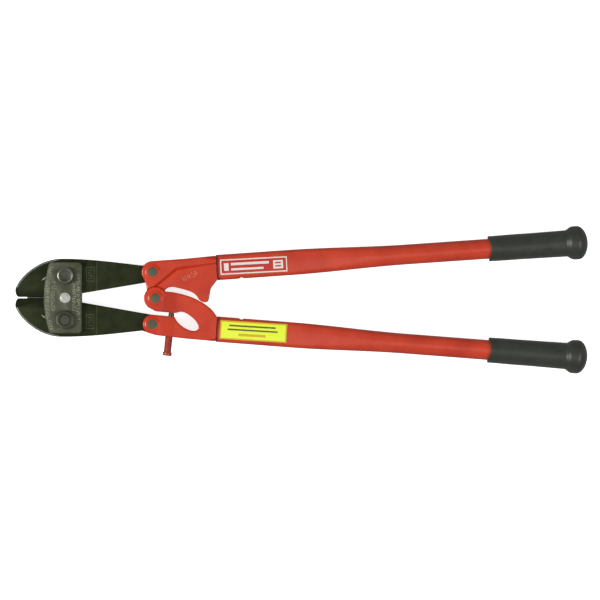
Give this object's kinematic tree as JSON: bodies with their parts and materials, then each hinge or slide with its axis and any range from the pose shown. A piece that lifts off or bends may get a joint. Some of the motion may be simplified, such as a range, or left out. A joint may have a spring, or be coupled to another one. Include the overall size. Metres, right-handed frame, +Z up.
{
  "type": "bolt cutters",
  "caption": "Long-handled bolt cutters: pinned jaws between cover plates, forged adapters with an adjusting screw, and tubular handles with dipped grips.",
  "frame": {"origin": "centre of the tool's outline, on the surface it lies on, under the bolt heads and the grip knobs", "axes": "+X from the jaws to the grips, +Y towards the handle without the adjusting screw, +Z up out of the face that carries the labels"},
  "size_m": [0.6098, 0.1576, 0.036],
  "materials": {
    "forged_red": "glossy red enamel over forged steel, worn at the edges",
    "tube_red": "glossy red enamel over drawn steel tube",
    "black_blade": "black oxide over ground tool steel, oiled",
    "dark_plate": "dark phosphated steel, lighter on raised edges",
    "bolt_steel": "grey phosphated steel with bright worn corners",
    "bright_badge": "bright turned disc",
    "grip_vinyl": "black dipped vinyl, soft gloss",
    "label_white": "printed film sticker with plain bars",
    "label_yellow": "printed film sticker with plain bars"
  },
  "bodies": {
    "head": {"front_cover_plate": "dark_plate", "rear_cover_plate": "dark_plate", "plate_badge": "bright_badge", "upper_blade_bolt": "bolt_steel", "upper_blade_nut": "bolt_steel", "lower_blade_bolt": "bolt_steel", "lower_blade_nut": "bolt_steel"},
    "upper_blade": {"upper_blade": "black_blade"},
    "upper_handle": {"upper_adapter": "forged_red", "upper_handle_tube": "tube_red", "upper_grip": "grip_vinyl", "upper_label": "label_white", "upper_link_bolt": "bolt_steel", "upper_link_nut": "bolt_steel"},
    "lower_handle": {"lower_adapter": "forged_red", "lower_handle_tube": "tube_red", "lower_grip": "grip_vinyl", "lower_label": "label_yellow", "lower_link_bolt": "bolt_steel", "lower_link_nut": "bolt_steel", "centre_pivot_bolt": "bolt_steel", "centre_pivot_nut": "bolt_steel"},
    "lower_blade": {"lower_blade": "black_blade"},
    "screw_pad": {"screw_bearing_pad": "bolt_steel"},
    "adjusting_screw": {"adjusting_screw": "forged_red"}
  },
  "joints": [
    {"name": "handles_open", "type": "hinge", "parent": "upper_handle", "child": "lower_handle", "pos_m": [-0.15567, 0, 0.018], "axis": [0, 0, -1], "range_deg": [0, 110]},
    {"name": "upper_blade_pivot", "type": "hinge", "parent": "head", "child": "upper_blade", "pos_m": [-0.25167, 0.0236, 0.018], "axis": [0, 0, -1], "range_deg": [0, 8.86]},
    {"name": "upper_link_pivot", "type": "hinge", "parent": "upper_blade", "child": "upper_handle", "pos_m": [-0.1587, 0.02785, 0.018], "axis": [0, 0, 1], "range_deg": [0, 63.86]},
    {"name": "lower_link_pivot", "type": "hinge", "parent": "lower_handle", "child": "lower_blade", "pos_m": [-0.1587, -0.02785, 0.018], "axis": [0, 0, 1], "range_deg": [0, 63.86]},
    {"name": "screw_turn", "type": "hinge", "parent": "screw_pad", "child": "adjusting_screw", "pos_m": [-0.14295, -0.05906, 0.018], "axis": [-0.1023, -0.9948, 0], "range_deg": [0, 720.5]},
    {"name": "screw_travel", "type": "slide", "parent": "lower_handle", "child": "screw_pad", "axis": [-0.1023, -0.9948, 0], "range_m": [0, 0.0025]}
  ],
  "couplings": [
    {"joint": "upper_blade_pivot", "follows": "handles_open", "ratio": 0.080503},
    {"joint": "upper_link_pivot", "follows": "handles_open", "ratio": 0.5805},
    {"joint": "lower_link_pivot", "follows": "handles_open", "ratio": 0.5805},
    {"joint": "screw_turn", "follows": "screw_travel", "rad_per_m": 5026.5}
  ]
}
